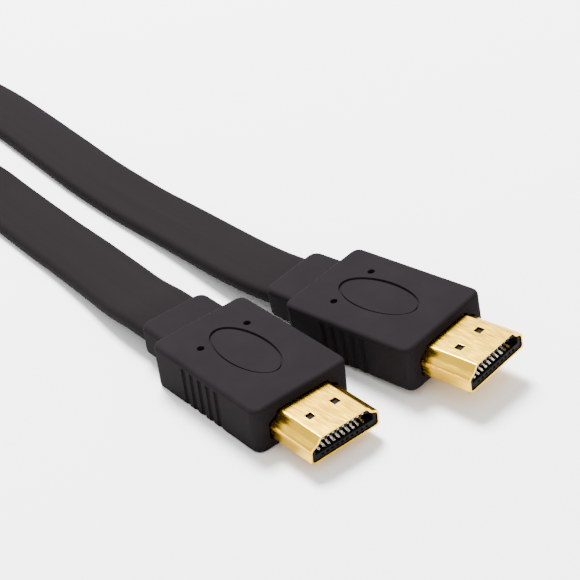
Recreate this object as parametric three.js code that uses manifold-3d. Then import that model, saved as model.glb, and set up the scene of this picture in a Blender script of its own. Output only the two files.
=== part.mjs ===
// Flat audio and video cable with the same moulded plug on both ends, in millimetres, +Z up.
// Each plug is laid out in a frame of its own: x runs forward to the contacts, y across,
// z up from the surface that the cable lies on, and x = 0 is the overmould's front face.
import * as THREE from 'three';
import Module from 'manifold-3d';
import { mergeVertices } from 'three/addons/utils/BufferGeometryUtils.js';

const wasm = await Module();
wasm.setup();

// Overmould
const BODY_LENGTH = 27.4;
const BODY_WIDTH = 19.4;
const BODY_HEIGHT = 8.4;
const BODY_PLAN_RADIUS = 1.5;
const BODY_EDGE_RADIUS = 0.8;
const BODY_HEEL_RADIUS = 1.6;

// Strain relief collar, moulded in one with the overmould
const COLLAR_WIDTH = 13.6;
const COLLAR_LENGTH = 7.9;
const COLLAR_HEIGHT = 5.8;
const COLLAR_CENTRE_HEIGHT = 4.1;
const COLLAR_PLAN_RADIUS = 1.8;
const COLLAR_EDGE_RADIUS = 1.2;

// Recesses in the overmould
const OVAL_LENGTH = 16.4;
const OVAL_WIDTH = 8.2;
const OVAL_DEPTH = 0.45;
const OVAL_SETBACK = 14.15;
const DIMPLE_DIAMETER = 1.3;
const DIMPLE_DEPTH = 1.2;
const DIMPLE_SETBACK = 19.85;
const DIMPLE_SPACING = 9.7;
const GROOVE_COUNT = 5;
const GROOVE_PITCH = 2.15;
const GROOVE_WIDTH = 1.15;
const GROOVE_DEPTH = 0.5;
const GROOVE_SETBACK = 14.2;
const GROOVE_TOP_MARGIN = 0.9;

// Metal shell
const SHELL_WIDTH = 13.9;
const SHELL_HEIGHT = 4.45;
const SHELL_NARROW_WIDTH = 9.8;
const SHELL_SHEET = 0.3;
const SHELL_REACH = 9.7;
const SHELL_ROOT = 4.0;
const SHELL_CENTRE_HEIGHT = 4.25;
const WAIST_HEIGHT = 2.85;
const SHOULDER_HEIGHT = 3.45;
const SHOULDER_STEP = 0.7;
const WINDOW_LENGTH = 1.4;
const WINDOW_WIDTH = 1.3;
const WINDOW_REACH = 4.65;
const WINDOW_SPACING = 5.1;
const LANCE_LENGTH = 0.7;
const LANCE_WIDTH = 3.7;
const LANCE_HEIGHT = 0.15;
const LANCE_OFFSET = 1.8;

// Contact carrier inside the shell
const INSERT_RECESS = 0.25;
const MOUTH_WIDTH = 11.8;
const MOUTH_HEIGHT = 1.9;
const MOUTH_DEPTH = 8.2;
const MOUTH_FLOOR = 1.0;
const SLOT_WIDTH = 0.6;
const SLOT_DEPTH = 0.42;
const LIP_LENGTH = 0.5;
const PIT_WIDTH = 0.5;
const PIT_HEIGHT = 0.4;
const PIT_DEPTH = 0.35;
const PIT_DROP = 0.3;

// Contacts
const CONTACT_PITCH = 1.0;
const TOP_CONTACTS = 9;
const BOTTOM_CONTACTS = 10;
const CONTACT_WIDTH = 0.42;
const CONTACT_THICKNESS = 0.2;
const TOP_SETBACK = 0.2;
const BOTTOM_SETBACK = 0.7;
const CONTACT_BOW = 0.35;

// Clearances
const SHELL_CLEARANCE = 0.2;
const INSERT_CLEARANCE = 0.1;
const CONTACT_CLEARANCE = 0.1;
const CORD_CLEARANCE = 0.3;

// Flat cable, 1.5 m long between the collars
const CABLE_LENGTH = 1500;
const CABLE_WIDTH = 12.6;
const CABLE_THICKNESS = 2.8;
const CABLE_STEPS = 36;

// How the two plugs lie beside each other
const PLUG_STAGGER = 7.8;
const PLUG_SPACING = 25.6;
const PLUG_SPLAY = 3.4;

// Plug B is tipped a little by the twist in its stiff cable, and rests on its near rear corner
const PLUG_B_NOSE_UP = 2.9;
const PLUG_B_ROLL = 3.9;

// The coil of the cable's middle, wound on edge with the cable doubled
const COIL_X = -174;
const COIL_Y = -43;
const COIL_CORE_RADIUS = 53;
const COIL_PITCH = 4.5;

// Strap tie that holds the coil's turns together
const TIE_WIDTH = 11;
const TIE_THICKNESS = 0.9;
const TIE_BEARING = -60;

// Materials
const black = new THREE.MeshStandardMaterial({ color: 0x3b373a, roughness: 0.55, metalness: 0 });
const jacket = new THREE.MeshStandardMaterial({ color: 0x343033, roughness: 0.6, metalness: 0 });
const gold = new THREE.MeshStandardMaterial({ color: 0xe6c878, roughness: 0.25, metalness: 1 });
const carrier = new THREE.MeshStandardMaterial({ color: 0x18161a, roughness: 0.5, metalness: 0 });
const plating = new THREE.MeshStandardMaterial({ color: 0xc9c6be, roughness: 0.3, metalness: 1 });

const ALONG_Y = [new THREE.Vector3(1, 0, 0), new THREE.Vector3(0, 0, 1), new THREE.Vector3(0, -1, 0)];
const ALONG_X = [new THREE.Vector3(0, 1, 0), new THREE.Vector3(0, 0, 1), new THREE.Vector3(1, 0, 0)];
const ARC_STEPS = 5;

// Unit vector from one corner to another
function direction(from, to) {
  const length = Math.hypot(to[0] - from[0], to[1] - from[1]);
  return [(to[0] - from[0]) / length, (to[1] - from[1]) / length];
}

// Closed outline through corners [x, y, radius], anticlockwise, each rounded to its radius
function roundedOutline(corners) {
  const shape = new THREE.Shape();
  corners.forEach((corner, i) => {
    const back = direction(corner, corners.at(i - 1));
    const ahead = direction(corner, corners[(i + 1) % corners.length]);
    const half = Math.acos(back[0] * ahead[0] + back[1] * ahead[1]) / 2;
    const turnsLeft = back[1] * ahead[0] - back[0] * ahead[1] > 0;
    const toCentre = corner[2] / Math.sin(half) / (2 * Math.cos(half));
    const centre = [0, 1].map((k) => corner[k] + (back[k] + ahead[k]) * toCentre);
    const touch = corner[2] / Math.tan(half);
    const angles = [back, ahead].map((way) =>
      Math.atan2(corner[1] + way[1] * touch - centre[1], corner[0] + way[0] * touch - centre[0]));
    shape.absarc(centre[0], centre[1], corner[2], angles[0], angles[1], !turnsLeft);
  });
  return shape;
}

// The same corners moved inward by a distance, with the roundings kept concentric
function inset(corners, distance) {
  return corners.map((corner, i) => {
    const into = direction(corners.at(i - 1), corner);
    const out = direction(corner, corners[(i + 1) % corners.length]);
    const scale = distance / (1 + into[0] * out[0] + into[1] * out[1]);
    const convex = into[0] * out[1] - into[1] * out[0] > 0;
    return [
      corner[0] - (into[1] + out[1]) * scale,
      corner[1] + (into[0] + out[0]) * scale,
      Math.max(corner[2] + (convex ? -distance : distance), 0.05),
    ];
  });
}

// Corners of a rectangle from its low to its high corner, all with one radius
function rectangle(x0, y0, x1, y1, radius) {
  return [[x0, y0, radius], [x1, y0, radius], [x1, y1, radius], [x0, y1, radius]];
}

// Straight prism of an outline: upward from z = start, or along the axes of a basis
function prism(shape, start, length, basis = null) {
  const geometry = new THREE.ExtrudeGeometry(shape, {
    depth: length, bevelEnabled: false, curveSegments: ARC_STEPS,
  });
  geometry.translate(0, 0, start);
  if (basis) {
    geometry.applyMatrix4(new THREE.Matrix4().makeBasis(...basis));
  }
  return geometry;
}

function box(x0, x1, y0, y1, z0, z1) {
  const geometry = new THREE.BoxGeometry(x1 - x0, y1 - y0, z1 - z0);
  return geometry.translate((x0 + x1) / 2, (y0 + y1) / 2, (z0 + z1) / 2);
}

// Closed geometry to a solid that can be joined and cut
function solid(geometry) {
  const bare = geometry.clone();
  bare.deleteAttribute('normal');
  bare.deleteAttribute('uv');
  const merged = mergeVertices(bare, 1e-5);
  return new wasm.Manifold(new wasm.Mesh({
    numProp: 3,
    vertProperties: new Float32Array(merged.attributes.position.array),
    triVerts: new Uint32Array(merged.index.array),
  }));
}

function geometryOf(body) {
  const { vertProperties, triVerts } = body.getMesh();
  const geometry = new THREE.BufferGeometry();
  geometry.setAttribute('position', new THREE.BufferAttribute(vertProperties, 3));
  geometry.setIndex(new THREE.BufferAttribute(triVerts, 1));
  geometry.computeVertexNormals();
  return geometry;
}

function mesh(name, geometry, material) {
  const piece = new THREE.Mesh(geometry, material);
  piece.name = name;
  return piece;
}

// Shell outline seen from the front, wide side down, with its underside at z = 0
function shellCorners() {
  const wide = SHELL_WIDTH / 2;
  const narrow = SHELL_NARROW_WIDTH / 2;
  const half = [
    [wide, 0, 0.5],
    [wide, WAIST_HEIGHT, 0.8],
    [narrow + SHOULDER_STEP, SHOULDER_HEIGHT, 0.5],
    [narrow, SHELL_HEIGHT, 0.35],
  ];
  const mirrored = half.map(([y, z, radius]) => [-y, z, radius]).reverse();
  return [...half, ...mirrored];
}

const SHELL_BASE = SHELL_CENTRE_HEIGHT - SHELL_HEIGHT / 2;
const MOUTH_BASE = SHELL_BASE + SHELL_SHEET + INSERT_CLEARANCE + MOUTH_FLOOR;
const MOUTH_CEILING = MOUTH_BASE + MOUTH_HEIGHT;
const INSERT_FACE = SHELL_REACH - INSERT_RECESS;
const MOUTH_BACK = INSERT_FACE - MOUTH_DEPTH;

function shellPrism(insetBy, start, end) {
  const raised = inset(shellCorners(), insetBy).map(([y, z, radius]) => [y, z + SHELL_BASE, radius]);
  return solid(prism(roundedOutline(raised), start, end - start, ALONG_X));
}

// Rounded block: the common part of its plan, side and front outlines
function overmouldBlock() {
  const side = [
    [-BODY_LENGTH, 0, BODY_HEEL_RADIUS],
    [0, 0, BODY_EDGE_RADIUS],
    [0, BODY_HEIGHT, BODY_EDGE_RADIUS],
    [-BODY_LENGTH, BODY_HEIGHT, BODY_EDGE_RADIUS],
  ];
  const half = BODY_WIDTH / 2;
  const plan = rectangle(-BODY_LENGTH, -half, 0, half, BODY_PLAN_RADIUS);
  const front = rectangle(-half, 0, half, BODY_HEIGHT, BODY_EDGE_RADIUS);
  return solid(prism(roundedOutline(plan), 0, BODY_HEIGHT))
    .intersect(solid(prism(roundedOutline(side), -half, BODY_WIDTH, ALONG_Y)))
    .intersect(solid(prism(roundedOutline(front), -BODY_LENGTH, BODY_LENGTH, ALONG_X)));
}

function collarBlock() {
  const half = COLLAR_WIDTH / 2;
  const rear = -BODY_LENGTH - COLLAR_LENGTH;
  const bury = BODY_PLAN_RADIUS + COLLAR_PLAN_RADIUS;
  const low = COLLAR_CENTRE_HEIGHT - COLLAR_HEIGHT / 2;
  const plan = rectangle(rear, -half, -BODY_LENGTH + bury, half, COLLAR_PLAN_RADIUS);
  const front = rectangle(-half, low, half, low + COLLAR_HEIGHT, COLLAR_EDGE_RADIUS);
  return solid(prism(roundedOutline(plan), low, COLLAR_HEIGHT))
    .intersect(solid(prism(roundedOutline(front), rear, COLLAR_LENGTH + bury, ALONG_X)));
}

function ovalRecess() {
  const outline = new THREE.Shape();
  outline.absellipse(-OVAL_SETBACK, 0, OVAL_LENGTH / 2, OVAL_WIDTH / 2, 0, 2 * Math.PI, false, 0);
  const geometry = new THREE.ExtrudeGeometry(outline, {
    depth: 2 * OVAL_DEPTH, bevelEnabled: false, curveSegments: 20,
  });
  return solid(geometry.translate(0, 0, BODY_HEIGHT - OVAL_DEPTH));
}

function dimple(side) {
  const drill = new THREE.CylinderGeometry(DIMPLE_DIAMETER / 2, DIMPLE_DIAMETER / 2, 2 * DIMPLE_DEPTH, 16);
  drill.rotateX(Math.PI / 2);
  return solid(drill.translate(-DIMPLE_SETBACK, side * DIMPLE_SPACING / 2, BODY_HEIGHT));
}

// One upright grip groove in a side wall, open at the bottom and stopped below the top edge
function groove(index, side) {
  const x = -GROOVE_SETBACK + (index - (GROOVE_COUNT - 1) / 2) * GROOVE_PITCH;
  const outer = side * (BODY_WIDTH / 2 + GROOVE_DEPTH);
  const inner = side * (BODY_WIDTH / 2 - GROOVE_DEPTH);
  return solid(box(x - GROOVE_WIDTH / 2, x + GROOVE_WIDTH / 2, Math.min(outer, inner),
    Math.max(outer, inner), -GROOVE_DEPTH, BODY_HEIGHT - GROOVE_TOP_MARGIN));
}

function overmould() {
  let body = overmouldBlock().add(collarBlock()).subtract(ovalRecess());
  for (const side of [-1, 1]) {
    body = body.subtract(dimple(side));
    for (let i = 0; i < GROOVE_COUNT; i += 1) {
      body = body.subtract(groove(i, side));
    }
  }
  return geometryOf(body.subtract(shellPrism(-SHELL_CLEARANCE, -SHELL_ROOT, BODY_EDGE_RADIUS)));
}

// Folded sheet shell with two latch windows in its top and a lance at its root
function shell() {
  const rear = -SHELL_ROOT + SHELL_CLEARANCE;
  const top = SHELL_BASE + SHELL_HEIGHT;
  const lanceStart = SHELL_CLEARANCE;
  let body = shellPrism(0, rear, SHELL_REACH)
    .add(solid(box(lanceStart, lanceStart + LANCE_LENGTH, -LANCE_OFFSET - LANCE_WIDTH / 2,
      -LANCE_OFFSET + LANCE_WIDTH / 2, top - SHELL_SHEET / 2, top + LANCE_HEIGHT)))
    .subtract(shellPrism(SHELL_SHEET, rear - 1, SHELL_REACH + 1));
  for (const side of [-1, 1]) {
    const y = side * WINDOW_SPACING / 2;
    body = body.subtract(solid(box(WINDOW_REACH - WINDOW_LENGTH / 2, WINDOW_REACH + WINDOW_LENGTH / 2,
      y - WINDOW_WIDTH / 2, y + WINDOW_WIDTH / 2, top - 2 * SHELL_SHEET, top + SHELL_SHEET)));
  }
  return geometryOf(body);
}

// Places across the plug of a row of contacts
function contactRow(count) {
  return Array.from({ length: count }, (_, i) => (i - (count - 1) / 2) * CONTACT_PITCH);
}

// Carrier with the mouth that takes the socket's tongue, a slot for each contact, and a row of
// small pits across the front of its lower wall
function insert() {
  const half = MOUTH_WIDTH / 2;
  let body = shellPrism(SHELL_SHEET + INSERT_CLEARANCE, -SHELL_ROOT + SHELL_CLEARANCE, INSERT_FACE)
    .subtract(solid(box(MOUTH_BACK, INSERT_FACE + 1, -half, half, MOUTH_BASE, MOUTH_CEILING)));
  const cut = (y, width, start, end, low, high) => solid(box(start, end, y - width / 2, y + width / 2, low, high));
  for (const y of contactRow(TOP_CONTACTS)) {
    body = body.subtract(cut(y, SLOT_WIDTH, MOUTH_BACK, INSERT_FACE + 1,
      MOUTH_CEILING - SLOT_DEPTH, MOUTH_CEILING + SLOT_DEPTH));
  }
  const pitTop = MOUTH_BASE - PIT_DROP;
  for (const y of contactRow(BOTTOM_CONTACTS)) {
    body = body
      .subtract(cut(y, SLOT_WIDTH, MOUTH_BACK, INSERT_FACE - LIP_LENGTH,
        MOUTH_BASE - SLOT_DEPTH, MOUTH_BASE + SLOT_DEPTH))
      .subtract(cut(y, PIT_WIDTH, INSERT_FACE - PIT_DEPTH, INSERT_FACE + 1, pitTop - PIT_HEIGHT, pitTop));
  }
  return geometryOf(body);
}

// Sprung contact strip that lies in its slot and bows into the mouth; facing is -1 in the top row
function contact(y, facing) {
  const floor = facing > 0 ? MOUTH_BASE - SLOT_DEPTH : MOUTH_CEILING + SLOT_DEPTH;
  const near = floor + facing * CONTACT_CLEARANCE;
  const back = MOUTH_BACK + CONTACT_CLEARANCE;
  const tip = INSERT_FACE - (facing > 0 ? BOTTOM_SETBACK : TOP_SETBACK);
  const bow = SLOT_DEPTH + CONTACT_BOW - CONTACT_CLEARANCE - CONTACT_THICKNESS;
  const run = tip - back;
  const line = [[back, 0], [back + 0.45 * run, 0], [back + 0.8 * run, bow], [back + 0.86 * run, bow], [tip, 0]];
  const underside = line.map(([x, rise]) => [x, near + facing * rise]);
  const upper = line.map(([x, rise]) => [x, near + facing * (rise + CONTACT_THICKNESS)]).reverse();
  const loop = [...underside, ...upper];
  const shape = new THREE.Shape((facing > 0 ? loop : loop.reverse()).map(([x, z]) => new THREE.Vector2(x, z)));
  const geometry = prism(shape, -y - CONTACT_WIDTH / 2, CONTACT_WIDTH, ALONG_Y);
  return geometry;
}

// One whole plug, named for its end of the cable
function plug(end) {
  const group = new THREE.Group();
  group.add(
    mesh(`plug_${end}_overmould`, overmould(), black),
    mesh(`plug_${end}_shell`, shell(), gold),
    mesh(`plug_${end}_insert`, insert(), carrier),
  );
  const places = [
    ...contactRow(TOP_CONTACTS).map((y) => [y, -1]),
    ...contactRow(BOTTOM_CONTACTS).map((y) => [y, 1]),
  ];
  places.forEach(([y, facing], i) => {
    const number = String(i + 1).padStart(2, '0');
    group.add(mesh(`plug_${end}_contact_${number}`, contact(y, facing), plating));
  });
  return group;
}

// Route of a flat ribbon. Each station is [x, y, lift off the surface, twist in degrees]
class RibbonPath extends THREE.CatmullRomCurve3 {
  constructor(stations) {
    super(stations.map(([x, y, lift]) => new THREE.Vector3(x, y, lift)));
    this.twists = stations.map((station) => THREE.MathUtils.degToRad(station[3]));
  }

  twistAt(t) {
    const place = t * (this.twists.length - 1);
    const i = Math.min(Math.floor(place), this.twists.length - 2);
    return THREE.MathUtils.lerp(this.twists[i], this.twists[i + 1], place - i);
  }

  getPoint(t, target = new THREE.Vector3()) {
    const point = super.getPoint(t, target);
    const twist = this.twistAt(t);
    const rise = CABLE_WIDTH / 2 * Math.sin(twist) + CABLE_THICKNESS / 2 * Math.cos(twist);
    point.z = Math.max(point.z, 0) + rise;
    return point;
  }

  computeFrenetFrames(segments) {
    const frames = { tangents: [], normals: [], binormals: [] };
    const up = new THREE.Vector3(0, 0, 1);
    for (let i = 0; i <= segments; i += 1) {
      const u = i / segments;
      const tangent = this.getTangentAt(u).setZ(0).normalize();
      const twist = this.twistAt(this.getUtoTmapping(u));
      const normal = new THREE.Vector3().crossVectors(up, tangent).applyAxisAngle(tangent, twist);
      frames.tangents.push(tangent);
      frames.normals.push(normal);
      frames.binormals.push(new THREE.Vector3().crossVectors(tangent, normal));
    }
    return frames;
  }
}

// Flat section with eased corners
function ribbonSection() {
  const half = CABLE_WIDTH / 2;
  const ease = CABLE_THICKNESS * 0.3;
  const thick = CABLE_THICKNESS / 2;
  const corners = [[half - ease, -thick], [half, ease - thick], [half, thick - ease], [half - ease, thick]];
  const mirrored = corners.map(([x, y]) => [-x, -y]);
  return new THREE.Shape([...corners, ...mirrored].map(([x, y]) => new THREE.Vector2(x, y)));
}

function ribbon(stations) {
  return new THREE.ExtrudeGeometry(ribbonSection(), {
    steps: CABLE_STEPS, extrudePath: new RibbonPath(stations), bevelEnabled: false,
  });
}

// Point behind a plug on the collar's own axis, a distance behind its rear face
function behind(plugGroup, distance) {
  const rear = new THREE.Vector3(-BODY_LENGTH - COLLAR_LENGTH - distance, 0, COLLAR_CENTRE_HEIGHT);
  plugGroup.updateMatrixWorld(true);
  return rear.applyMatrix4(plugGroup.matrixWorld);
}

const splay = THREE.MathUtils.degToRad(PLUG_SPLAY);
const plugA = plug('a');
plugA.rotation.z = -splay;

const plugB = plug('b');
plugB.rotation.set(
  THREE.MathUtils.degToRad(PLUG_B_ROLL), THREE.MathUtils.degToRad(-PLUG_B_NOSE_UP), splay, 'ZYX');
plugB.position.set(PLUG_STAGGER, PLUG_SPACING, 0);
plugB.position.z = -new THREE.Box3().setFromObject(plugB, true).min.z;

// First station of a run: just behind the collar, at the height that the collar holds it
function exitOf(plugGroup, distance) {
  const point = behind(plugGroup, distance);
  return [point.x, point.y, point.z - CABLE_THICKNESS / 2, 0];
}

const routeA = [
  exitOf(plugA, CORD_CLEARANCE),
  exitOf(plugA, CORD_CLEARANCE + 5),
  [-47, 3.1, 1.9, 0],
  [-56, 4.6, 1.1, 0],
  [-68, 6.3, 0.4, 0],
  [-80, 7.6, 0, 0],
  [-92, 8.9, 0, 0],
  [-101, 9.9, 0, 0],
  [-110, 10.9, 0, 16],
  [-118, 11.7, 0, 36],
  [-125, 12.4, 0, 57],
  [-131.4, 13.0, 0, 76],
];
const routeB = [
  exitOf(plugB, CORD_CLEARANCE),
  exitOf(plugB, CORD_CLEARANCE + 5),
  [-40, 23.2, 2.0, 0],
  [-50, 24.2, 1.2, 0],
  [-62, 25.3, 0.5, 0],
  [-76, 26.2, 0, 0],
  [-91, 27.5, 0, 0],
  [-108, 29.8, 0, 0],
  [-124, 32.0, 0, 0],
  [-139, 33.7, 0, 0],
  [-153, 34.1, 0, 2],
  [-167, 32.9, 0, 20],
  [-181, 30.2, 0, 52],
  [-194, 25.9, 0, 80],
  [-205.2, 18.7, 0, 90],
];

// Length of cable wound up, and how many layers of it lie side by side in the coil's wall
function coilOuterRadius() {
  const spent = [routeA, routeB].reduce((sum, route) => sum + new RibbonPath(route).getLength(), 0);
  const wound = CABLE_LENGTH - spent;
  const inner = COIL_CORE_RADIUS ** 2;
  return Math.sqrt(inner + wound * COIL_PITCH / Math.PI);
}

function coil() {
  const outer = coilOuterRadius();
  const ease = CABLE_THICKNESS * 0.3;
  const profile = [
    [COIL_CORE_RADIUS + ease, 0], [outer - ease, 0], [outer, ease], [outer, CABLE_WIDTH - ease],
    [outer - ease, CABLE_WIDTH], [COIL_CORE_RADIUS + ease, CABLE_WIDTH],
    [COIL_CORE_RADIUS, CABLE_WIDTH - ease], [COIL_CORE_RADIUS, ease], [COIL_CORE_RADIUS + ease, 0],
  ];
  const geometry = new THREE.LatheGeometry(profile.map(([x, y]) => new THREE.Vector2(x, y)), 72);
  geometry.rotateX(Math.PI / 2);
  return geometry;
}

// Strap bent over the coil's wall, seen along the wall, with its legs down to the surface
function tie() {
  const inner = Math.sqrt(COIL_CORE_RADIUS ** 2 - (TIE_WIDTH / 2) ** 2) - CORD_CLEARANCE;
  const outer = coilOuterRadius() + CORD_CLEARANCE;
  const top = CABLE_WIDTH + CORD_CLEARANCE;
  const shape = new THREE.Shape([
    [inner - TIE_THICKNESS, 0], [inner, 0], [inner, top], [outer, top], [outer, 0],
    [outer + TIE_THICKNESS, 0], [outer + TIE_THICKNESS, top + TIE_THICKNESS],
    [inner - TIE_THICKNESS, top + TIE_THICKNESS],
  ].map(([x, y]) => new THREE.Vector2(x, y)));
  return prism(shape, -TIE_WIDTH / 2, TIE_WIDTH, ALONG_Y);
}

const plugs = new THREE.Group();
plugs.add(plugA, plugB);

const ring = mesh('cable_coil', coil(), jacket);
ring.position.set(COIL_X, COIL_Y, 0);

const strap = mesh('cable_tie', tie(), jacket);
strap.position.copy(ring.position);
strap.rotation.z = THREE.MathUtils.degToRad(TIE_BEARING);

const cable = new THREE.Group();
cable.add(
  mesh('cable_run_a', ribbon(routeA), jacket),
  mesh('cable_run_b', ribbon(routeB), jacket),
  ring,
  strap,
);

// The origin is the middle of the floor under the two plugs
const object = new THREE.Group();
object.add(plugs, cable);
object.updateMatrixWorld(true);
const middle = new THREE.Box3().setFromObject(plugs).getCenter(new THREE.Vector3());
object.position.set(-middle.x, -middle.y, 0);

export default object;
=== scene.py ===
"""Flat audio and video cable: two moulded plugs with gold shells, and a ribbon coiled between them.

Places along a plug are in millimetres in the plug's own frame: x forward from the overmould's
front face, y across, z up from the surface that the cable lies on.
"""
from __future__ import annotations

import logging
import math
from collections.abc import Callable, Sequence
from dataclasses import dataclass, field
from enum import Enum

import bpy
from mathutils import Matrix, Vector


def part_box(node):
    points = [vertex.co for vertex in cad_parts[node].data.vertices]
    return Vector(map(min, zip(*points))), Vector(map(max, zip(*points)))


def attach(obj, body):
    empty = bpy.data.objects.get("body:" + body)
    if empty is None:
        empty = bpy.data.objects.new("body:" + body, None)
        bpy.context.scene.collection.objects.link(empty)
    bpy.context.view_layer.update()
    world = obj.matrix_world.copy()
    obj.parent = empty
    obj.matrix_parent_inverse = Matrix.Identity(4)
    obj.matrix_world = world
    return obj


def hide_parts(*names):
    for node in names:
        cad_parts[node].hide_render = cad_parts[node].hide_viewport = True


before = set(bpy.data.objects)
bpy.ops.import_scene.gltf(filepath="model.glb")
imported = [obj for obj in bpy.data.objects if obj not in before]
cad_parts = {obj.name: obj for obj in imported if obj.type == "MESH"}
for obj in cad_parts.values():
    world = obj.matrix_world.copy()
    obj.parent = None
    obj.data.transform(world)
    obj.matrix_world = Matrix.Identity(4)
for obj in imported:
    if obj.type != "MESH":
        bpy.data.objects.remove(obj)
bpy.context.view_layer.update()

LOG = logging.getLogger("flat_cable")
MM = 0.001
BODY = "root"


class Slot(Enum):
    """Names of the record's material slots."""

    OVERMOULD = "overmould"
    SHELL = "gold_shell"
    CABLE = "cable"


class Axis(Enum):
    """A direction that an edge can run along."""

    X = 0
    Y = 1
    Z = 2


@dataclass(frozen=True)
class Place:
    """Where a plug lies: the foot of its overmould's front face, and how it is turned.

    Attributes:
        x: Forward place, in millimetres.
        y: Sideways place, in millimetres.
        lift: Height, in millimetres.
        yaw: Heading in degrees, anticlockwise from above.
        nose_up: How far its front is tipped up, in degrees.
        roll: How far its +y side is tipped up, in degrees.
    """

    x: float
    y: float
    lift: float
    yaw: float
    nose_up: float = 0.0
    roll: float = 0.0

    def turn(self) -> Matrix:
        """Return the plug's rotation."""
        yaw, tip, roll = (math.radians(angle) for angle in (self.yaw, -self.nose_up, self.roll))
        return Matrix.Rotation(yaw, 4, "Z") @ Matrix.Rotation(tip, 4, "Y") @ Matrix.Rotation(roll, 4, "X")

    def matrix(self) -> Matrix:
        """Return the transform from the plug's own frame, in metres, to the row frame."""
        spot = Vector((self.x + LAYOUT_SHIFT[0], self.y + LAYOUT_SHIFT[1], self.lift)) * MM
        return Matrix.Translation(spot) @ self.turn()

    def behind(self, distance: float, height: float) -> Vector:
        """Return the layout point a distance behind the front face, at a height in the plug."""
        return Vector((self.x, self.y, self.lift)) + self.turn().to_3x3() @ Vector((-distance, 0, height))


LAYOUT_SHIFT = (9.000689, -12.787799)
PLACES = {"a": Place(0.0, 0.0, 0.0, -3.4), "b": Place(7.8, 25.6, 1.914877, 3.4, 2.9, 3.9)}


class Nodes:
    """Small builder for a node material on one Principled shader."""

    def __init__(self, name: str) -> None:
        """Create the material.

        Args:
            name: Name of the new material.
        """
        self.material = bpy.data.materials.new(name)
        self.material.use_nodes = True
        self.tree = self.material.node_tree
        self.shader = self.tree.nodes["Principled BSDF"]

    def add(self, kind: str, **values: object) -> bpy.types.Node:
        """Add a node.

        Args:
            kind: Blender's name of the node type.
            **values: Node properties, or inputs named by their socket with spaces as underscores.

        Returns:
            The new node.
        """
        node = self.tree.nodes.new(kind)
        for key, value in values.items():
            socket = key.replace("_", " ")
            if socket in node.inputs:
                node.inputs[socket].default_value = value
            else:
                setattr(node, key, value)
        return node

    def link(self, source: bpy.types.NodeSocket, target: bpy.types.NodeSocket) -> None:
        """Join an output socket to an input socket."""
        self.tree.links.new(source, target)

    def set(self, **values: object) -> None:
        """Set the shader's own sockets, named with spaces as underscores."""
        for key, value in values.items():
            self.shader.inputs[key.replace("_", " ")].default_value = value

    def object_noise(self, scale: float, stretch: Sequence[float] = (1, 1, 1),
                     detail: float = 3.0) -> bpy.types.Node:
        """Add noise that reads Object coordinates.

        Args:
            scale: Noise scale, in cells per metre.
            stretch: Scale factor along each axis.
            detail: Number of octaves.

        Returns:
            The noise node.
        """
        place = self.add("ShaderNodeTexCoord")
        mapping = self.add("ShaderNodeMapping")
        mapping.inputs["Scale"].default_value = stretch
        noise = self.add("ShaderNodeTexNoise", Scale=scale, Detail=detail)
        self.link(place.outputs["Object"], mapping.inputs["Vector"])
        self.link(mapping.outputs["Vector"], noise.inputs["Vector"])
        return noise

    def ramp(self, source: bpy.types.NodeSocket, low: Sequence[float], high: Sequence[float],
             ends: tuple[float, float] = (0.3, 0.7)) -> bpy.types.NodeSocket:
        """Colour a value from one colour to another.

        Args:
            source: Socket that drives the ramp.
            low: Colour at the low end.
            high: Colour at the high end.
            ends: Values at which the two colours are reached.

        Returns:
            The ramp's colour socket.
        """
        ramp = self.add("ShaderNodeValToRGB")
        for element, colour, end in zip(ramp.color_ramp.elements, (low, high), ends):
            element.color = (*colour, 1)
            element.position = end
        self.link(source, ramp.inputs["Fac"])
        return ramp.outputs["Color"]

    def span(self, source: bpy.types.NodeSocket, low: float, high: float) -> bpy.types.NodeSocket:
        """Map noise of about 0.3 to 0.7 onto a range of values, and return the result socket."""
        span = self.add("ShaderNodeMapRange")
        for socket, value in zip(("From Min", "From Max", "To Min", "To Max"), (0.3, 0.7, low, high)):
            span.inputs[socket].default_value = value
        self.link(source, span.inputs["Value"])
        return span.outputs["Result"]

    def bump(self, height: bpy.types.NodeSocket, depth: float, strength: float = 1.0,
             under: bpy.types.NodeSocket | None = None) -> bpy.types.NodeSocket:
        """Add a bump.

        Args:
            height: Socket with the height, from 0 to 1.
            depth: Real depth of the relief, in metres.
            strength: How much of the bump is used.
            under: Normal of a coarser bump that this one lies on.

        Returns:
            The normal socket.
        """
        bump = self.add("ShaderNodeBump", Strength=strength, Distance=depth)
        self.link(height, bump.inputs["Height"])
        if under:
            self.link(under, bump.inputs["Normal"])
        return bump.outputs["Normal"]

    def feed(self, source: bpy.types.NodeSocket, name: str) -> None:
        """Join a socket to the shader's named input."""
        self.link(source, self.shader.inputs[name])


@dataclass(frozen=True)
class MouldedVinyl:
    """Matte black vinyl with the fine grain of an eroded mould.

    Attributes:
        name: Name of the material.
        dark: Darker colour of its cloudy tone.
        light: Lighter colour of its cloudy tone.
        rough: Lowest and highest roughness.
        grain: Grain cells per metre.
    """

    name: str = "moulded_vinyl"
    dark: tuple[float, float, float] = (0.0078, 0.0064, 0.0073)
    light: tuple[float, float, float] = (0.0105, 0.0088, 0.0098)
    rough: tuple[float, float] = (0.80, 0.90)
    grain: float = 4200.0

    def build(self) -> bpy.types.Material:
        """Return the material."""
        nodes = Nodes(self.name)
        clouds = nodes.object_noise(180.0)
        grain = nodes.object_noise(self.grain, detail=2.0)
        nodes.feed(nodes.ramp(clouds.outputs["Fac"], self.dark, self.light), "Base Color")
        nodes.feed(nodes.span(clouds.outputs["Fac"], *self.rough), "Roughness")
        nodes.feed(nodes.bump(grain.outputs["Fac"], 0.00003, 0.6), "Normal")
        nodes.set(Specular_IOR_Level=0.03)
        return nodes.material


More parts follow.
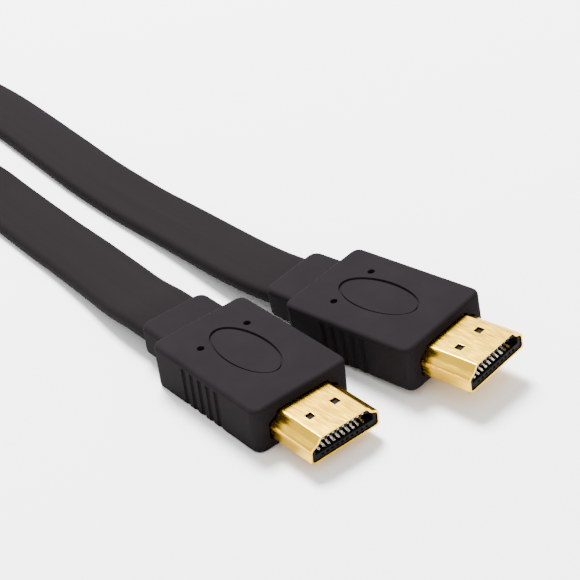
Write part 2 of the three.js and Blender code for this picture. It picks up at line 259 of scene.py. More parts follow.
@dataclass(frozen=True)
class RibbonJacket:
    """Extruded black vinyl jacket, with faint draw lines along the cable.

    Attributes:
        name: Name of the material.
        dark: Colour in the draw lines.
        light: Colour between them.
        rough: Lowest and highest roughness.
    """

    name: str = "ribbon_jacket"
    dark: tuple[float, float, float] = (0.0064, 0.0053, 0.0059)
    light: tuple[float, float, float] = (0.0086, 0.0072, 0.0079)
    rough: tuple[float, float] = (0.78, 0.88)

    def build(self) -> bpy.types.Material:
        """Return the material, whose lines follow the piece's UV map."""
        nodes = Nodes(self.name)
        flow = nodes.add("ShaderNodeUVMap", uv_map="flow")
        mapping = nodes.add("ShaderNodeMapping")
        mapping.inputs["Scale"].default_value = (12, 160, 1)
        lines = nodes.add("ShaderNodeTexNoise", Scale=1.0, Detail=3.0)
        nodes.link(flow.outputs["UV"], mapping.inputs["Vector"])
        nodes.link(mapping.outputs["Vector"], lines.inputs["Vector"])
        grain = nodes.object_noise(3600.0, detail=2.0)
        nodes.feed(nodes.ramp(lines.outputs["Fac"], self.dark, self.light), "Base Color")
        nodes.feed(nodes.span(lines.outputs["Fac"], *self.rough), "Roughness")
        relief = nodes.bump(lines.outputs["Fac"], 0.00003, 0.4)
        nodes.feed(nodes.bump(grain.outputs["Fac"], 0.00002, 0.5, relief), "Normal")
        nodes.set(Specular_IOR_Level=0.03)
        return nodes.material


@dataclass(frozen=True)
class GoldPlate:
    """Pale bright gold plating over a folded steel sheet.

    Attributes:
        name: Name of the material.
        deep: Warmer colour of the plating.
        pale: Paler colour of the plating.
        rough: Lowest and highest roughness.
    """

    name: str = "gold_plate"
    deep: tuple[float, float, float] = (0.76, 0.43, 0.015)
    pale: tuple[float, float, float] = (0.82, 0.50, 0.03)
    rough: tuple[float, float] = (0.16, 0.28)

    def build(self) -> bpy.types.Material:
        """Return the material."""
        nodes = Nodes(self.name)
        clouds = nodes.object_noise(260.0)
        brushed = nodes.object_noise(5200.0, (0.08, 1, 1), detail=2.0)
        nodes.feed(nodes.ramp(clouds.outputs["Fac"], self.deep, self.pale), "Base Color")
        nodes.feed(nodes.span(brushed.outputs["Fac"], *self.rough), "Roughness")
        nodes.feed(nodes.bump(brushed.outputs["Fac"], 0.000004, 0.5), "Normal")
        nodes.set(Metallic=1.0)
        return nodes.material


@dataclass(frozen=True)
class CarrierPlastic:
    """Black moulded plastic of the contact carrier.

    Attributes:
        name: Name of the material.
        dark: Darker colour.
        light: Lighter colour.
    """

    name: str = "carrier_plastic"
    dark: tuple[float, float, float] = (0.0024, 0.0020, 0.0024)
    light: tuple[float, float, float] = (0.0048, 0.0044, 0.0048)

    def build(self) -> bpy.types.Material:
        """Return the material."""
        nodes = Nodes(self.name)
        clouds = nodes.object_noise(900.0)
        nodes.feed(nodes.ramp(clouds.outputs["Fac"], self.dark, self.light), "Base Color")
        nodes.feed(nodes.span(clouds.outputs["Fac"], 0.6, 0.75), "Roughness")
        nodes.feed(nodes.bump(clouds.outputs["Fac"], 0.00001, 0.4), "Normal")
        nodes.set(Specular_IOR_Level=0.08)
        return nodes.material


@dataclass(frozen=True)
class SpringMetal:
    """Bright plated spring metal of the contacts.

    Attributes:
        name: Name of the material.
        dark: Colour in its dull patches.
        light: Colour of the clean plating.
    """

    name: str = "spring_metal"
    dark: tuple[float, float, float] = (0.62, 0.58, 0.50)
    light: tuple[float, float, float] = (0.86, 0.83, 0.76)

    def build(self) -> bpy.types.Material:
        """Return the material."""
        nodes = Nodes(self.name)
        clouds = nodes.object_noise(2400.0)
        nodes.feed(nodes.ramp(clouds.outputs["Fac"], self.dark, self.light), "Base Color")
        nodes.feed(nodes.span(clouds.outputs["Fac"], 0.18, 0.32), "Roughness")
        nodes.set(Metallic=1.0)
        return nodes.material


@dataclass(frozen=True)
class WovenStrap:
    """Black woven strap with a fine rib across it.

    Attributes:
        name: Name of the material.
        dark: Colour between the threads, painted shade in the weave's hollows.
        light: Colour of the threads.
        ribs: Ribs per metre.
    """

    name: str = "woven_strap"
    dark: tuple[float, float, float] = (0.0050, 0.0048, 0.0049)
    light: tuple[float, float, float] = (0.0120, 0.0112, 0.0116)
    ribs: float = 1400.0

    def build(self) -> bpy.types.Material:
        """Return the material."""
        nodes = Nodes(self.name)
        place = nodes.add("ShaderNodeTexCoord")
        weave = nodes.add("ShaderNodeTexWave", Scale=self.ribs / 6.0, Distortion=1.5, wave_type="BANDS")
        nodes.link(place.outputs["Object"], weave.inputs["Vector"])
        # Painted shade: the ramp darkens the colour in the weave's hollows, the same bands that the bump
        # sinks.
        nodes.feed(nodes.ramp(weave.outputs["Fac"], self.dark, self.light), "Base Color")
        nodes.feed(nodes.bump(weave.outputs["Fac"], 0.00012, 0.8), "Normal")
        nodes.set(Roughness=0.85, Specular_IOR_Level=0.05)
        return nodes.material


@dataclass
class Studio:
    """Camera, even sky, one soft light and a plain white floor.

    Attributes:
        eye: Camera place in the row frame, in millimetres.
        heading: Camera heading in degrees, anticlockwise from +X.
        pitch: How far the camera looks down, in degrees.
        roll: Camera roll in degrees.
        focal_pixels: Focal length in pixels of the square picture.
        picture: Width of the square picture in pixels.
        sensor: Sensor width in millimetres.
        sky_strength: Strength of the even white sky.
        key_place: Where the soft light hangs, in metres.
        key_target: Point that it faces, in metres.
        key_size: Width of the square light, in metres.
        key_power: Power of the light in watts.
    """

    eye: tuple[float, float, float] = (152.356, -131.118, 149.101)
    heading: float = 140.481
    pitch: float = 33.443
    roll: float = -6.834
    focal_pixels: float = 1499.0
    picture: int = 580
    sensor: float = 36.0
    sky_strength: float = 1.6
    key_place: tuple[float, float, float] = (-0.42, 0.22, 0.8)
    key_target: tuple[float, float, float] = (-0.02, 0.0, 0.0)
    key_size: float = 0.3
    key_power: float = 40.0

    def camera(self) -> bpy.types.Object:
        """Add the camera at the photograph's viewpoint.

        Returns:
            The camera object, which is made the scene's camera.
        """
        heading, pitch, roll = (math.radians(x) for x in (self.heading, self.pitch, self.roll))
        level = math.cos(pitch)
        ahead = Vector((level * math.cos(heading), level * math.sin(heading), -math.sin(pitch)))
        right = Vector((math.sin(heading), -math.cos(heading), 0.0))
        up = right.cross(ahead)
        turned_right = math.cos(roll) * right + math.sin(roll) * up
        turned_up = -math.sin(roll) * right + math.cos(roll) * up
        data = bpy.data.cameras.new("camera")
        data.sensor_width = self.sensor
        data.lens = self.focal_pixels * self.sensor / self.picture
        data.clip_start = 0.01
        camera = bpy.data.objects.new("camera", data)
        basis = Matrix((turned_right, turned_up, -ahead)).transposed().to_4x4()
        camera.matrix_world = Matrix.Translation(Vector(self.eye) * MM) @ basis
        bpy.context.scene.collection.objects.link(camera)
        bpy.context.scene.camera = camera
        return camera

    def floor(self) -> bpy.types.Object:
        """Add the white floor, and return it."""
        deselect_all()
        bpy.ops.mesh.primitive_plane_add(size=8.0, location=(0, 0, 0))
        floor = bpy.context.object
        floor.name = "floor"
        nodes = Nodes("white_paper")
        nodes.set(Base_Color=(0.98, 0.98, 0.98, 1), Roughness=0.9, Specular_IOR_Level=0.1)
        floor.data.materials.append(nodes.material)
        return floor

    def key(self) -> None:
        """Add the soft square light, which hangs behind the cable."""
        data = bpy.data.lights.new("key", "AREA")
        data.energy = self.key_power
        data.size = self.key_size
        lamp = bpy.data.objects.new("key", data)
        lamp.location = self.key_place
        facing = Vector(self.key_target) - Vector(self.key_place)
        lamp.rotation_euler = facing.to_track_quat("-Z", "Y").to_euler()
        bpy.context.scene.collection.objects.link(lamp)

    def sky(self) -> None:
        """Light the scene evenly from all round."""
        world = bpy.data.worlds.new("studio")
        bpy.context.scene.world = world
        world.use_nodes = True
        backdrop = world.node_tree.nodes["Background"]
        backdrop.inputs["Color"].default_value = (1, 1, 1, 1)
        backdrop.inputs["Strength"].default_value = self.sky_strength

    def build(self) -> None:
        """Add the camera, the sky, the light and the floor."""
        self.camera()
        self.sky()
        self.key()
        self.floor()


def deselect_all() -> None:
    """Deselect every object."""
    bpy.ops.object.select_all(action="DESELECT")


def take(piece: bpy.types.Object) -> None:
    """Select one object alone and make it active."""
    deselect_all()
    piece.select_set(True)
    bpy.context.view_layer.objects.active = piece


def apply_modifier(piece: bpy.types.Object, kind: str, **values: object) -> None:
    """Add a modifier, set it and apply it.

    Args:
        piece: Object that gets the modifier.
        kind: Blender's name of the modifier type.
        **values: Settings of the modifier.
    """
    take(piece)
    modifier = piece.modifiers.new(kind.lower(), kind)
    for key, value in values.items():
        setattr(modifier, key, value)
    bpy.ops.object.modifier_apply(modifier=modifier.name)


def block(name: str, low: Sequence[float], high: Sequence[float]) -> bpy.types.Object:
    """Add a box by its low and high corner.

    Args:
        name: Name of the object.
        low: Lowest corner, in millimetres.
        high: Highest corner, in millimetres.

    Returns:
        The box, with its size and place in its mesh.
    """
    deselect_all()
    bpy.ops.mesh.primitive_cube_add(size=1.0)
    piece = bpy.context.object
    piece.name = name
    piece.location = [(a + b) / 2 * MM for a, b in zip(low, high)]
    piece.scale = [(b - a) * MM for a, b in zip(low, high)]
    bpy.ops.object.transform_apply(location=True, rotation=True, scale=True)
    return piece


def drum(name: str, radii: Sequence[float], centre: Sequence[float], depth: float,
         sides: int) -> bpy.types.Object:
    """Add an upright round or oval drum.

    Args:
        name: Name of the object.
        radii: Half length along x and along y, in millimetres.
        centre: Middle of the drum, in millimetres.
        depth: Height of the drum, in millimetres.
        sides: Number of sides.

    Returns:
        The drum, with its size and place in its mesh.
    """
    deselect_all()
    bpy.ops.mesh.primitive_cylinder_add(vertices=sides, radius=1.0, depth=1.0)
    piece = bpy.context.object
    piece.name = name
    piece.location = [value * MM for value in centre]
    piece.scale = (radii[0] * MM, radii[1] * MM, depth * MM)
    bpy.ops.object.transform_apply(location=True, rotation=True, scale=True)
    return piece


def edge_runs(edge: bpy.types.MeshEdge, piece: bpy.types.Object, axis: Axis | None) -> bool:
    """Tell whether an edge runs along an axis, or any edge when no axis is given."""
    ends = [piece.data.vertices[i].co for i in edge.vertices]
    way = ends[1] - ends[0]
    return axis is None or abs(way[axis.value]) > 0.9 * way.length


def bevel_edges(piece: bpy.types.Object, test: Callable[[Vector], bool], axis: Axis | None,
                radius: float, segments: int) -> None:
    """Round the edges that run along an axis and whose middle passes a test.

    Args:
        piece: Object to shape.
        test: Takes an edge's middle in millimetres, and says whether it is rounded.
        axis: Direction that the edges run along, or None for any direction.
        radius: Rounding, in millimetres.
        segments: Steps of the rounding.
    """
    take(piece)
    bpy.ops.object.mode_set(mode="EDIT")
    bpy.ops.mesh.select_mode(type="EDGE")
    bpy.ops.mesh.select_all(action="DESELECT")
    bpy.ops.object.mode_set(mode="OBJECT")
    for edge in piece.data.edges:
        middle = sum((piece.data.vertices[i].co for i in edge.vertices), Vector()) / 2
        edge.select = edge_runs(edge, piece, axis) and test(middle / MM)
    bpy.ops.object.mode_set(mode="EDIT")
    bpy.ops.mesh.bevel(offset=radius * MM, segments=segments, profile=0.5, affect="EDGES")
    bpy.ops.object.mode_set(mode="OBJECT")


def combine(piece: bpy.types.Object, tools: Sequence[bpy.types.Object], operation: str) -> None:
    """Join or cut a piece with others, which are used up.

    Args:
        piece: Object that keeps the result.
        tools: Objects that are added to it or taken from it.
        operation: UNION, DIFFERENCE or INTERSECT.
    """
    for tool in tools:
        apply_modifier(piece, "BOOLEAN", object=tool, operation=operation, solver="EXACT")
        bpy.data.objects.remove(tool, do_unlink=True)


def smooth(piece: bpy.types.Object, angle: float = 35.0) -> None:
    """Shade a piece smooth, except across edges sharper than an angle in degrees."""
    take(piece)
    bpy.ops.object.shade_smooth_by_angle(angle=math.radians(angle))


def settle(piece: bpy.types.Object, place: Place) -> None:
    """Move a piece from a plug's own frame to the row frame, with the place in its mesh."""
    piece.data.transform(place.matrix())
    piece.data.update()


def dress(piece: bpy.types.Object, material: bpy.types.Material) -> None:
    """Give a new piece its only material and its body."""
    piece.data.materials.clear()
    piece.data.materials.append(material)
    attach(piece, BODY)


@dataclass
class RibbonCable:
    """The flat cable: 1.5 m from collar to collar, its middle wound on edge into a coil.

    Lengths are in millimetres. A station is x, y, lift off the floor and twist in degrees, in
    the layout frame of the plugs.

    Attributes:
        length: Real length between the collars.
        width: Width of the ribbon.
        thickness: Thickness of the ribbon.
        corner: Rounding of the ribbon's edges.
        exit_height: Height of a collar's middle in its plug.
        plug_length: Distance from a plug's front face to the rear of its collar.
        coil_centre: Middle of the coil.
        pitch: Distance between neighbouring layers of the coil.
        merge: Bearing at which strand b enters the coil beside strand a, in degrees.
        entry_a: Bearing at which strand a enters the coil, in degrees.
        winding_step: Widest bearing between two stations in the coil, in degrees.
        fold_radius: Radius of the open fold at the cable's middle.
        fold_flare: Length over which the two strands part before the fold.
        spacing: Distance between the ribbon's rings.
    """

    length: float = 1500.0
    width: float = 12.6
    thickness: float = 2.8
    corner: float = 1.15
    exit_height: float = 4.1
    plug_length: float = 35.3
    coil_centre: tuple[float, float] = (-174.0, -43.0)
    pitch: float = 4.5
    merge: float = 150.0
    entry_a: float = 84.0
    winding_step: float = 12.0
    fold_radius: float = 5.5
    fold_flare: float = 16.0
    spacing: float = 1.5
    outer: float = field(init=False)
    run_a: list[tuple[float, float, float, float]] = field(default_factory=lambda: [
        (-47.0, 3.1, 1.9, 0.0), (-56.0, 4.6, 1.1, 0.0), (-68.0, 6.3, 0.4, 0.0),
        (-80.0, 7.6, 0.0, 0.0), (-92.0, 8.9, 0.0, 0.0), (-101.0, 9.9, 0.0, 0.0),
        (-110.0, 10.9, 0.0, 16.0), (-118.0, 11.7, 0.0, 36.0), (-125.0, 12.4, 0.0, 57.0),
        (-131.4, 13.0, 0.0, 76.0),
    ])
    run_b: list[tuple[float, float, float, float]] = field(default_factory=lambda: [
        (-40.0, 23.2, 2.0, 0.0), (-50.0, 24.2, 1.2, 0.0), (-62.0, 25.3, 0.5, 0.0),
        (-76.0, 26.2, 0.0, 0.0), (-91.0, 27.5, 0.0, 0.0), (-108.0, 29.8, 0.0, 0.0),
        (-124.0, 32.0, 0.0, 0.0), (-139.0, 33.7, 0.0, 0.0), (-153.0, 34.1, 0.0, 2.0),
        (-167.0, 32.9, 0.0, 20.0), (-181.0, 30.2, 0.0, 52.0), (-194.0, 25.9, 0.0, 80.0),
        (-205.2, 18.7, 0.0, 90.0),
    ])

    def __post_init__(self) -> None:
        """Take the coil's outer radius from its CAD solid."""
        low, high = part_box("cable_coil")
        self.outer = (high.x - low.x) / 2 / MM

    def stations(self, end: str) -> list[Vector]:
        """Return the stations from a collar to the coil.

        Args:
            end: Letter of the plug.

        Returns:
            Stations as vectors of x, y, lift and twist.
        """
        points = [PLACES[end].behind(self.plug_length + gap, self.exit_height) for gap in (-1.5, 0.3, 5.3)]
        start = [(point.x, point.y, point.z - self.thickness / 2, 0.0) for point in points]
        return [Vector(station) for station in start + (self.run_a if end == "a" else self.run_b)]

    def winding(self, bearing: float, side: int, part: float = 0.0, inward: float = 0.0) -> Vector:
        """Return a station in the coil.

        Args:
            bearing: Bearing from the coil's middle, in degrees, counted on through the turns.
            side: 1 for the outer strand of the pair, -1 for the inner one.
            part: Extra half distance between the strands.
            inward: How far the pair has moved in from its spiral.

        Returns:
            The station, on edge on the floor.
        """
        wound = 2 * self.pitch * (bearing - self.merge) / 360
        middle = self.outer - self.thickness / 2 - self.pitch / 2 - wound
        radius = middle - inward + side * (self.pitch / 2 + part)
        angle = math.radians(bearing)
        x = self.coil_centre[0] + radius * math.cos(angle)
        y = self.coil_centre[1] + radius * math.sin(angle)
        return Vector((x, y, 0.0, 90.0))

    def strand(self, end: str, last: float) -> list[Vector]:
        """Return one strand's stations from its collar to the last bearing before the fold.

        Args:
            end: Letter of the plug.
            last: Bearing at which the fold begins, in degrees.

        Returns:
            The stations.
        """
        side, first = (-1, self.entry_a) if end == "a" else (1, self.merge)
        count = math.ceil((last - first) / self.winding_step)
        turns = [self.winding(first + (last - first) * i / count, side) for i in range(count + 1)]
        return self.stations(end) + turns

    def fold(self, last: float) -> list[Vector]:
        """Return the stations of the open fold, from strand a round to strand b."""
        radius = self.winding(last, 0) - Vector((*self.coil_centre, 0.0, 90.0))
        per_mm = math.degrees(1 / radius.length)
        spread = self.fold_radius - self.pitch / 2
        half = []
        for i in range(1, 5):
            share = i / 4
            ease = share * share * (3 - 2 * share)
            half.append((share * self.fold_flare, spread * ease, (spread + 1.0) * ease))
        for i in range(1, 7):
            angle = math.pi / 2 * i / 6
            reach = self.fold_flare + self.fold_radius * math.sin(angle)
            half.append((reach, self.fold_radius * math.cos(angle) - self.pitch / 2, spread + 1.0))
        inner = [self.winding(last + ahead * per_mm, -1, part, inward) for ahead, part, inward in half]
        outer = [self.winding(last + ahead * per_mm, 1, part, inward)
                 for ahead, part, inward in half[:-1]]
        return inner + outer[::-1]

    def route(self, last: float) -> list[Vector]:
        """Return all stations from collar a to collar b, with the twist running on through both.

        Args:
            last: Bearing at which the fold begins, in degrees.

        Returns:
            The stations.
        """
        back = [Vector((*station[:3], 180.0 - station[3])) for station in self.strand("b", last)]
        return self.strand("a", last) + self.fold(last) + back[::-1]

    def line(self, last: float) -> list[Vector]:
        """Return evenly spaced points of the ribbon's centre line, each with its twist.

        Args:
            last: Bearing at which the fold begins, in degrees.

        Returns:
            Points as vectors of x, y, z and twist.
        """
        fine = catmull_rom(self.route(last), 12)
        for point in fine:
            point[3] = min(max(point[3], 0.0), 180.0)
            twist = math.radians(point[3])
            rise = self.width / 2 * math.sin(twist) + self.thickness / 2 * abs(math.cos(twist))
            point[2] = max(point[2], 0.0) + rise
        return resample(fine, self.spacing)

    def solve(self) -> list[Vector]:
        """Return the centre line whose length is the cable's real length."""
        low, high = 300.0, 1200.0
        for _ in range(24):
            last = (low + high) / 2
            if length_of(self.line(last)) < self.length:
                low = last
            else:
                high = last
        return self.line(last)

    def section(self) -> list[tuple[float, float]]:
        """Return the ribbon's section, with points closer together round its edges."""
        points = []
        for turn, (sx, sy) in enumerate(((1, 1), (-1, 1), (-1, -1), (1, -1))):
            for i in range(5):
                angle = math.pi / 2 * (turn + i / 4)
                points.append((sx * (self.width / 2 - self.corner) + self.corner * math.cos(angle),
                               sy * (self.thickness / 2 - self.corner) + self.corner * math.sin(angle)))
        return points

    def mesh(self, line: Sequence[Vector]) -> bpy.types.Object:
        """Sweep the section along the centre line.

        Args:
            line: Points with their twist.

        Returns:
            The ribbon, closed at both ends, with a UV map that follows it.
        """
        section = self.section()
        sides = len(section)
        verts, faces = [], []
        for i, point in enumerate(line):
            way = (line[min(i + 1, len(line) - 1)] - line[max(i - 1, 0)]).to_3d()
            tangent = Vector((way.x, way.y, 0)).normalized()
            twist = math.radians(point[3])
            level = Vector((0, 0, 1)).cross(tangent)
            across = level * math.cos(twist) + Vector((0, 0, 1)) * math.sin(twist)
            through = tangent.cross(across)
            verts += [point.to_3d() + across * a + through * b for a, b in section]
        for ring in range(len(line) - 1):
            start = ring * sides
            for k in range(sides):
                ahead = (k + 1) % sides
                faces.append((start + k, start + ahead, start + sides + ahead, start + sides + k))
        faces.append(tuple(reversed(range(sides))))
        faces.append(tuple(range(len(verts) - sides, len(verts))))
        shift = Vector((*LAYOUT_SHIFT, 0))
        data = bpy.data.meshes.new("cable")
        data.from_pydata([(v + shift) * MM for v in verts], [], faces)
        flow = data.uv_layers.new(name="flow")
        for face in data.polygons[:-2]:
            ring, k = divmod(face.index, sides)
            corners = ((ring, k), (ring, k + 1), (ring + 1, k + 1), (ring + 1, k))
            for loop, (along, around) in zip(face.loop_indices, corners):
                flow.data[loop].uv = (along * self.spacing * MM, around / sides)
        cable = bpy.data.objects.new("flat_cable", data)
        bpy.context.scene.collection.objects.link(cable)
        for face in data.polygons[:-2]:
            face.use_smooth = True
        return cable

    def build(self, jacket: bpy.types.Material) -> bpy.types.Object:
        """Args:
            jacket: Material of the ribbon.

        Returns:
            The cable.
        """
        line = self.solve()
        cable = self.mesh(line)
        dress(cable, jacket)
        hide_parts("cable_run_a", "cable_run_b", "cable_coil")
        return cable


def catmull_rom(stations: Sequence[Vector], steps: int) -> list[Vector]:
    """Run a smooth curve through stations.

    Args:
        stations: Points that the curve passes through.
        steps: Points made for each stretch between two stations.

    Returns:
        Points along the curve.
    """
    padded = [2 * stations[0] - stations[1], *stations, 2 * stations[-1] - stations[-2]]
    points = []
    for i in range(1, len(padded) - 2):
        p0, p1, p2, p3 = padded[i - 1:i + 3]
        knots = [0.0]
        for a, b in ((p0, p1), (p1, p2), (p2, p3)):
            knots.append(knots[-1] + max((b - a).to_3d().length, 1e-6) ** 0.5)
        t0, t1, t2, t3 = knots
        for k in range(steps):
            t = t1 + (t2 - t1) * k / steps
            a1 = p0 * ((t1 - t) / (t1 - t0)) + p1 * ((t - t0) / (t1 - t0))
            a2 = p1 * ((t2 - t) / (t2 - t1)) + p2 * ((t - t1) / (t2 - t1))
            a3 = p2 * ((t3 - t) / (t3 - t2)) + p3 * ((t - t2) / (t3 - t2))
            b1 = a1 * ((t2 - t) / (t2 - t0)) + a2 * ((t - t0) / (t2 - t0))
            b2 = a2 * ((t3 - t) / (t3 - t1)) + a3 * ((t - t1) / (t3 - t1))
            points.append(b1 * ((t2 - t) / (t2 - t1)) + b2 * ((t - t1) / (t2 - t1)))
    points.append(stations[-1].copy())
    return points


def length_of(points: Sequence[Vector]) -> float:
    """Return the length of a line of points."""
    return sum((b - a).to_3d().length for a, b in zip(points, points[1:]))


def resample(points: Sequence[Vector], spacing: float) -> list[Vector]:
    """Space points evenly along a line.

    Args:
        points: Points of the line.
        spacing: Wanted distance between points.

    Returns:
        The new points, from the line's first point to its last.
    """
    total = length_of(points)
    count = max(2, round(total / spacing))
    even, walked, wanted = [points[0].copy()], 0.0, total / count
    for a, b in zip(points, points[1:]):
        stretch = (b - a).to_3d().length
        while len(even) < count and walked + stretch >= wanted * len(even):
            even.append(a.lerp(b, (wanted * len(even) - walked) / stretch))
        walked += stretch
    even.append(points[-1].copy())
    return even


@dataclass
class Overmould:
    """Moulded vinyl body of a plug, with its strain relief collar, oval, dimples and grooves.

    Lengths are in millimetres, in the plug's own frame.

    Attributes:
        length: Length of the body.
        width: Width of the body.
        height: Height of the body.
        corner: Rounding of its upright edges.
        edge: Rounding of its other edges.
        heel: Rounding of its lower rear edge.
        collar: Length, width and height of the collar.
        collar_height: Height of the collar's middle.
        collar_corner: Rounding of the collar's upright rear edges.
        collar_edge: Rounding of its other edges.
        root: How far the collar reaches into the body.
        oval: Half length, half width and depth of the oval's outline.
        oval_line: Width of the sunk line round the oval, and share of its depth that the oval has.
        oval_back: Distance of the oval's middle behind the front face.
        dimple: Radius and depth of a dimple.
        dimple_spot: Distance of the dimples behind the front face, and from the middle.
        groove: Width, depth and pitch of the side grooves.
        groove_top: Distance of the grooves' upper end below the top.
        groove_corner: Rounding of a groove's floor.
        groove_back: Distance of the middle groove behind the front face.
        grooves: Number of grooves on a side.
        soften: Rounding of the small edges.
        pocket_gap: Clearance round the shell.
        pocket_depth: How far the shell's hole reaches in.
    """

    length: float = 27.4
    width: float = 19.4
    height: float = 8.4
    corner: float = 1.6
    edge: float = 0.75
    heel: float = 1.5
    collar: tuple[float, float, float] = (7.9, 13.6, 5.8)
    collar_height: float = 4.1
    collar_corner: float = 1.8
    collar_edge: float = 0.9
    root: float = 2.5
    oval: tuple[float, float, float] = (8.2, 4.1, 0.42)
    oval_line: tuple[float, float] = (0.4, 0.4)
    oval_back: float = 14.15
    dimple: tuple[float, float] = (0.65, 1.2)
    dimple_spot: tuple[float, float] = (19.85, 4.85)
    groove: tuple[float, float, float] = (1.1, 0.42, 2.15)
    groove_top: float = 0.95
    groove_corner: float = 0.3
    groove_back: float = 14.2
    grooves: int = 5
    soften: float = 0.16
    pocket_gap: float = 0.22
    pocket_depth: float = 4.0

    def body(self) -> bpy.types.Object:
        """Return the rounded block."""
        half = self.width / 2
        body = block("overmould", (-self.length, -half, 0), (0, half, self.height))
        bevel_edges(body, lambda p: True, Axis.Z, self.corner, 6)
        bevel_edges(body, lambda p: p.z > self.height - 0.05, None, self.edge, 4)
        bevel_edges(body, lambda p: p.z < 0.05, None, self.edge * 0.7, 3)
        slack = 0.02
        heel = block("heel", (-self.length - slack, -half - 1, -slack), (1, half + 1, self.height + 1))
        bevel_edges(heel, lambda p: p.x < -self.length and p.z < 0, Axis.Y, self.heel, 8)
        combine(body, [heel], "INTERSECT")
        return body

    def relief(self) -> bpy.types.Object:
        """Return the collar."""
        long, wide, high = self.collar
        low = self.collar_height - high / 2
        rear = -self.length - long
        collar = block("collar", (rear, -wide / 2, low), (-self.length + self.root, wide / 2, low + high))
        bevel_edges(collar, lambda p: p.x < rear + 0.1, Axis.Z, self.collar_corner, 6)
        bevel_edges(collar, lambda p: abs(p.z - self.collar_height) > high / 2 - 0.05, None,
                    self.collar_edge, 4)
        return collar

    def cutters(self) -> list[bpy.types.Object]:
        """Return the tools for the oval, the dimples and the grooves."""
        a, b, depth = self.oval
        middle = (-self.oval_back, 0, self.height)
        line, share = self.oval_line
        ring = drum("oval_ring", (a, b), middle, 2 * depth, 96)
        combine(ring, [drum("oval_island", (a - line, b - line), middle, 4 * depth, 96)], "DIFFERENCE")
        tools = [ring, drum("oval", (a - line / 4, b - line / 4), middle, 2 * share * depth, 96)]
        radius, deep = self.dimple
        back, aside = self.dimple_spot
        wide, cut, pitch = self.groove
        for side in (-1, 1):
            tools.append(drum("dimple", (radius, radius), (-back, side * aside, self.height), 2 * deep, 28))
            for i in range(self.grooves):
                x = -self.groove_back + (i - (self.grooves - 1) / 2) * pitch
                inner, outer = sorted((side * (self.width / 2 - cut), side * (self.width / 2 + 1)))
                tool = block("groove", (x - wide / 2, inner, -1),
                             (x + wide / 2, outer, self.height - self.groove_top))
                bevel_edges(tool, lambda p, s=side: p.y * s < self.width / 2 - cut + 0.1, Axis.Z,
                            self.groove_corner, 3)
                tools.append(tool)
        return tools

    def pocket(self) -> bpy.types.Object:
        """Return the tool for the hole that the shell goes into."""
        return ShellSheet().solid(self.pocket_gap, -self.pocket_depth, 1.0)

    def build(self, end: str, vinyl: bpy.types.Material) -> bpy.types.Object:
        """Make one plug's overmould.

        Args:
            end: Letter of the plug.
            vinyl: Its material.

        Returns:
            The overmould, in place of its CAD node.
        """
        body = self.body()
        combine(body, [self.relief()], "UNION")
        combine(body, self.cutters() + [self.pocket()], "DIFFERENCE")
        apply_modifier(body, "BEVEL", width=self.soften * MM, segments=2, limit_method="ANGLE",
                       angle_limit=math.radians(38), use_clamp_overlap=True)
        smooth(body, 32)
        apply_modifier(body, "WEIGHTED_NORMAL", keep_sharp=True, weight=80)
        settle(body, PLACES[end])
        body.name = f"overmould_{end}"
        dress(body, vinyl)
        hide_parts(f"plug_{end}_overmould")
        return body


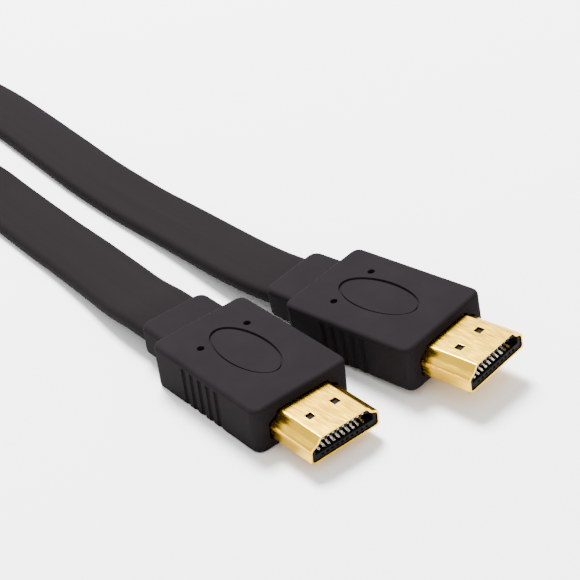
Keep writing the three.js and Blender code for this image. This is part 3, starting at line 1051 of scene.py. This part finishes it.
@dataclass
class ShellSheet:
    """Folded gold shell: wide below, with shoulders up to a narrower top plate.

    Lengths are in millimetres, in the plug's own frame.

    Attributes:
        wide: Half width of the lower part.
        shoulder: Half width at the foot of the top plate's slope.
        narrow: Half width of the top plate.
        levels: Heights of the waist, shoulder and top plate above the underside.
        base: Height of the underside.
        sheet: Thickness of the sheet.
        start: Rear end.
        reach: Front end.
        window: Middle from the front face, half spacing, length and width of the latch windows.
        rim: Rounding of the cut edges.
        folds: Roundings of the underside, the waist, the shoulders and the top plate.
        seam: Distance of the side seam below the waist, its width and its depth.
    """

    wide: float = 6.95
    shoulder: float = 5.6
    narrow: float = 4.9
    levels: tuple[float, float, float] = (2.85, 3.45, 4.45)
    base: float = 2.025
    sheet: float = 0.3
    start: float = -3.8
    reach: float = 9.7
    window: tuple[float, float, float, float] = (4.65, 2.55, 1.4, 1.3)
    rim: float = 0.06
    folds: tuple[float, float, float, float] = (0.5, 0.42, 0.25, 0.3)
    seam: tuple[float, float, float] = (0.62, 0.08, 0.09)

    def solid(self, grow: float, start: float, end: float) -> bpy.types.Object:
        """Return the shell's outer form as a closed body, grown by a distance.

        Args:
            grow: How far every side is moved out.
            start: Rear end.
            end: Front end.
        """
        base = self.base - grow
        waist, shoulder, top = (level + grow + self.base for level in self.levels)
        form = block("shell", (start, -self.wide - grow, base), (end, self.wide + grow, waist))
        steps = ((shoulder, self.wide, self.shoulder), (top, self.shoulder, self.narrow))
        for level, before, after in steps:
            take(form)
            highest = max(v.co.z for v in form.data.vertices)
            bpy.ops.object.mode_set(mode="EDIT")
            bpy.ops.mesh.select_mode(type="FACE")
            bpy.ops.mesh.select_all(action="DESELECT")
            bpy.ops.object.mode_set(mode="OBJECT")
            for face in form.data.polygons:
                face.select = face.normal.z > 0.9 and face.center.z > highest - 1e-6
            bpy.ops.object.mode_set(mode="EDIT")
            rise = (0, 0, level * MM - highest)
            bpy.ops.mesh.extrude_region_move(TRANSFORM_OT_translate={"value": rise})
            squeeze = (after + grow) / (before + grow)
            bpy.ops.transform.resize(value=(1, squeeze, 1), center_override=(0, 0, 0))
            bpy.ops.object.mode_set(mode="OBJECT")
        side, near = self.wide + grow, 0.01
        under, bend, lean, over = self.folds
        bevel_edges(form, lambda p: p.z < base + near, Axis.X, under, 5)
        bevel_edges(form, lambda p: abs(p.y) > side - near and p.z > waist - near, Axis.X, bend, 6)
        bevel_edges(form, lambda p: abs(p.z - shoulder) < near and abs(p.y) > self.narrow, Axis.X, lean, 4)
        bevel_edges(form, lambda p: p.z > top - near, Axis.X, over, 5)
        return form

    def build(self, end: str, gold: bpy.types.Material) -> bpy.types.Object:
        """Make one plug's shell.

        Args:
            end: Letter of the plug.
            gold: Its material.

        Returns:
            The shell, in place of its CAD node.
        """
        shell = self.solid(0.0, self.start, self.reach)
        combine(shell, [self.solid(-self.sheet, self.start - 1, self.reach + 1)], "DIFFERENCE")
        middle, aside, long, wide = self.window
        top = self.base + self.levels[2]
        drop, gap, deep = self.seam
        seam = self.base + self.levels[0] - drop
        tools = [block("window", (middle - long / 2, side * aside - wide / 2, top - 0.8),
                       (middle + long / 2, side * aside + wide / 2, top + 1)) for side in (-1, 1)]
        tools.append(block("seam", (-1, -self.wide - 1, seam),
                           (self.reach + 1, -self.wide + deep, seam + gap)))
        combine(shell, tools, "DIFFERENCE")
        apply_modifier(shell, "BEVEL", width=self.rim * MM, segments=2, limit_method="ANGLE",
                       angle_limit=math.radians(50), use_clamp_overlap=True)
        smooth(shell, 40)
        apply_modifier(shell, "WEIGHTED_NORMAL", keep_sharp=True, weight=80)
        settle(shell, PLACES[end])
        shell.name = f"shell_{end}"
        dress(shell, gold)
        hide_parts(f"plug_{end}_shell")
        return shell


def carried_over(names: Sequence[str], material: bpy.types.Material) -> None:
    """Give CAD nodes that keep their shape a finer material.

    Args:
        names: Names of the nodes.
        material: Material for them all.
    """
    for name in names:
        node = bpy.data.objects[name]
        node.data.materials.clear()
        node.data.materials.append(material)


def main() -> None:
    """Build the studio, the cable and the plugs, and report each piece."""
    logging.basicConfig(level=logging.INFO, format="%(name)s: %(message)s")
    Studio().build()
    cable = RibbonCable().build(RibbonJacket().build())
    LOG.info("cable of %d faces", len(cable.data.polygons))
    vinyl, gold = MouldedVinyl().build(), GoldPlate().build()
    carrier, spring = CarrierPlastic().build(), SpringMetal().build()
    for end in PLACES:
        for piece in (Overmould().build(end, vinyl), ShellSheet().build(end, gold)):
            LOG.info("%s of %d faces", piece.name, len(piece.data.polygons))
        carried_over([f"plug_{end}_insert"], carrier)
        carried_over([f"plug_{end}_contact_{i:02d}" for i in range(1, 20)], spring)
    carried_over(["cable_tie"], WovenStrap().build())


if __name__ == "__main__":
    main()
